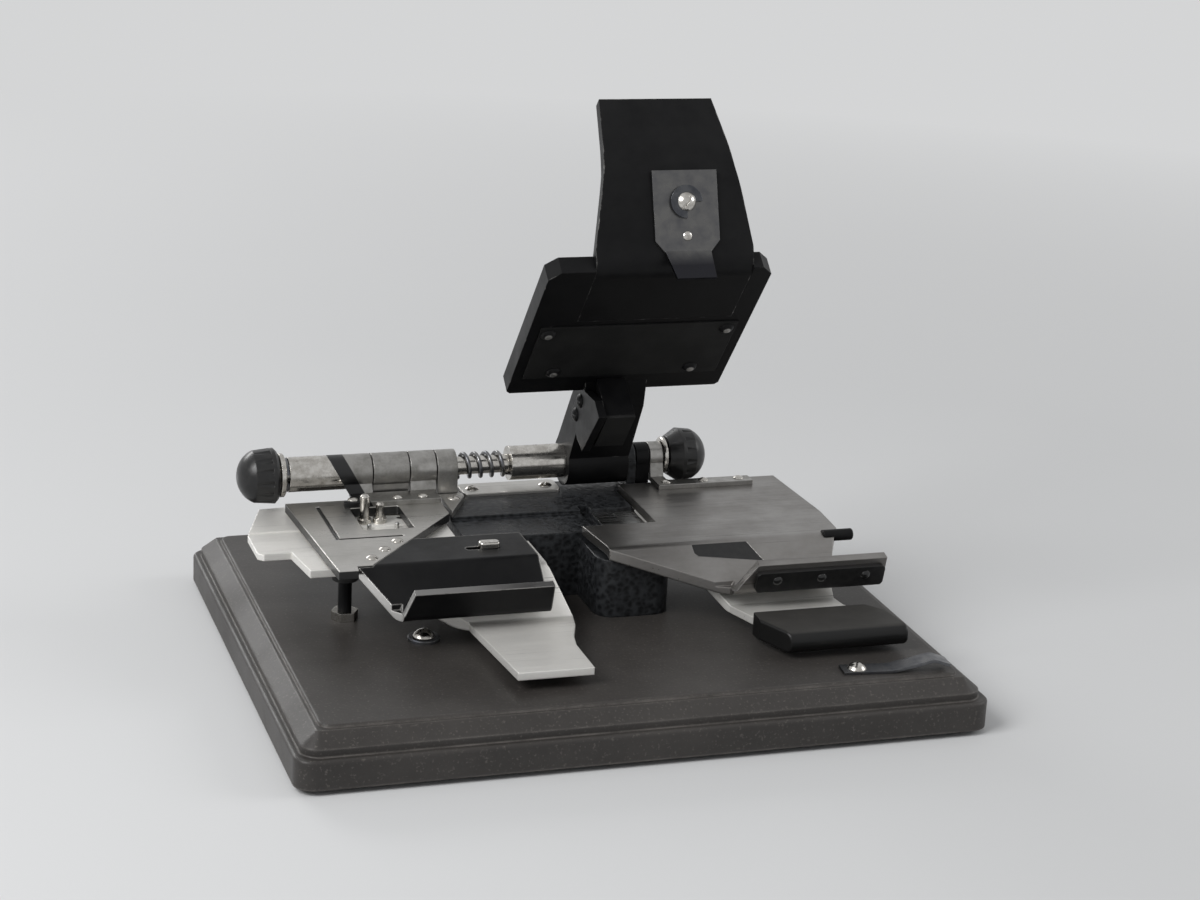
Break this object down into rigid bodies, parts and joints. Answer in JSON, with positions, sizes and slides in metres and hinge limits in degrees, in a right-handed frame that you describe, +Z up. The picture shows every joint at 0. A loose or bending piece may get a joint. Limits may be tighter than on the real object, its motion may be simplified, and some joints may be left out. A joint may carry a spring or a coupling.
{
  "type": "film splicer",
  "caption": "Bench film splicer: moulded base, cast bed, hinged film plates with lift lips, and a sprung arm that brings a cutter and presser down on the joint.",
  "frame": {"origin": "on the bench, under the middle of the base's plan rectangle", "axes": "+X to the right along the film's path and the hinge shaft, +Y to the back where the shaft is, +Z up"},
  "size_m": [0.18, 0.148, 0.1482],
  "materials": {
    "base_moulding": "dark grey-brown phenolic moulding, semi-gloss",
    "foot_rubber": "black rubber",
    "screw_steel": "turned steel",
    "screw_nickel": "nickel plate",
    "hammer_paint": "near-black hammered enamel",
    "hard_steel": "ground hardened steel",
    "black_enamel": "black enamel, bright where edges have worn",
    "plate_nickel": "nickel-plated sheet, lightly brushed",
    "spring_steel": "spring steel",
    "hinge_steel": "steel, duller than the plates",
    "knob_moulding": "black moulding",
    "grip_moulding": "black moulding",
    "bush_brass": "turned brass",
    "pad_black": "firm black sheet"
  },
  "bodies": {
    "base": {"base_board": "base_moulding", "rubber_feet": "foot_rubber", "foot_screws": "screw_steel", "frame_screws": "screw_steel", "centre_frame": "hammer_paint", "anvil_plate": "hard_steel", "anvil_screws": "screw_steel", "left_bearing": "hinge_steel", "frame_plates": "plate_nickel", "plate_screws": "screw_nickel", "deck_washers": "spring_steel", "deck_screws": "screw_nickel", "rest_studs": "black_enamel", "lock_nuts": "screw_nickel", "rest_caps": "foot_rubber", "latch_spring": "spring_steel", "hinge_shaft": "hard_steel", "shaft_washers": "screw_nickel", "shaft_clip": "spring_steel", "shaft_spacer": "screw_nickel", "arm_spring": "spring_steel"},
    "left_knob": {"left_knob": "knob_moulding", "left_knob_bush": "bush_brass"},
    "right_knob": {"right_knob": "knob_moulding", "right_knob_bush": "bush_brass"},
    "left_bed": {"left_bed_plate": "plate_nickel", "left_bed_knuckle": "hinge_steel", "left_bed_rivets": "screw_steel", "left_film_pins": "hard_steel", "guide_posts": "screw_nickel"},
    "left_clamp": {"left_clamp_plate": "plate_nickel", "left_clamp_leaf": "hinge_steel", "left_clamp_sleeve": "screw_nickel", "left_clamp_rivets": "screw_nickel", "left_lifter": "black_enamel"},
    "pin_selector": {"pin_selector": "screw_nickel"},
    "right_bed": {"right_bed_plate": "plate_nickel", "right_bed_knuckle": "black_enamel", "right_bed_rivets": "screw_steel", "right_film_pins": "hard_steel", "right_tab_grip": "grip_moulding"},
    "right_clamp": {"right_clamp_plate": "plate_nickel", "right_clamp_leaf": "hinge_steel", "right_clamp_rivets": "screw_nickel", "right_clamp_stud": "spring_steel", "right_slot_strip": "grip_moulding", "right_lip_grip": "grip_moulding"},
    "arm": {"arm_lever": "black_enamel", "arm_sleeve": "screw_nickel", "pressure_pad": "pad_black", "pad_rivets": "screw_nickel", "handle": "black_enamel", "arm_screws": "screw_nickel", "leaf_spring": "plate_nickel", "leaf_screws": "screw_nickel", "c_washer": "spring_steel", "cutter_blade": "hard_steel", "blade_screws": "screw_steel", "presser_block": "black_enamel", "presser_facing": "pad_black"}
  },
  "joints": [
    {"name": "arm_hinge", "type": "hinge", "parent": "base", "child": "arm", "pos_m": [0, 0.041, 0.041], "axis": [1, 0, 0], "range_deg": [0, 50], "stiffness_Nm_per_rad": 0.15, "springref_deg": -57.3, "deforming": ["arm_spring"]},
    {"name": "left_bed_hinge", "type": "hinge", "parent": "base", "child": "left_bed", "pos_m": [0, 0.041, 0.041], "axis": [1, 0, 0], "range_deg": [-40, 0]},
    {"name": "left_clamp_hinge", "type": "hinge", "parent": "left_bed", "child": "left_clamp", "pos_m": [0, 0.041, 0.041], "axis": [1, 0, 0], "range_deg": [-95, 0]},
    {"name": "pin_selector_slide", "type": "slide", "parent": "left_clamp", "child": "pin_selector", "axis": [1, 0, 0], "range_m": [-0.006, 0]},
    {"name": "right_bed_hinge", "type": "hinge", "parent": "base", "child": "right_bed", "pos_m": [0, 0.041, 0.041], "axis": [1, 0, 0], "range_deg": [-12, 0]},
    {"name": "right_clamp_hinge", "type": "hinge", "parent": "right_bed", "child": "right_clamp", "pos_m": [0, 0.041, 0.041], "axis": [1, 0, 0], "range_deg": [-38, 0]},
    {"name": "left_knob_turn", "type": "hinge", "parent": "base", "child": "left_knob", "pos_m": [-0.078, 0.041, 0.041], "axis": [1, 0, 0], "continuous": true},
    {"name": "right_knob_turn", "type": "hinge", "parent": "base", "child": "right_knob", "pos_m": [0.044, 0.041, 0.041], "axis": [1, 0, 0], "continuous": true}
  ]
}
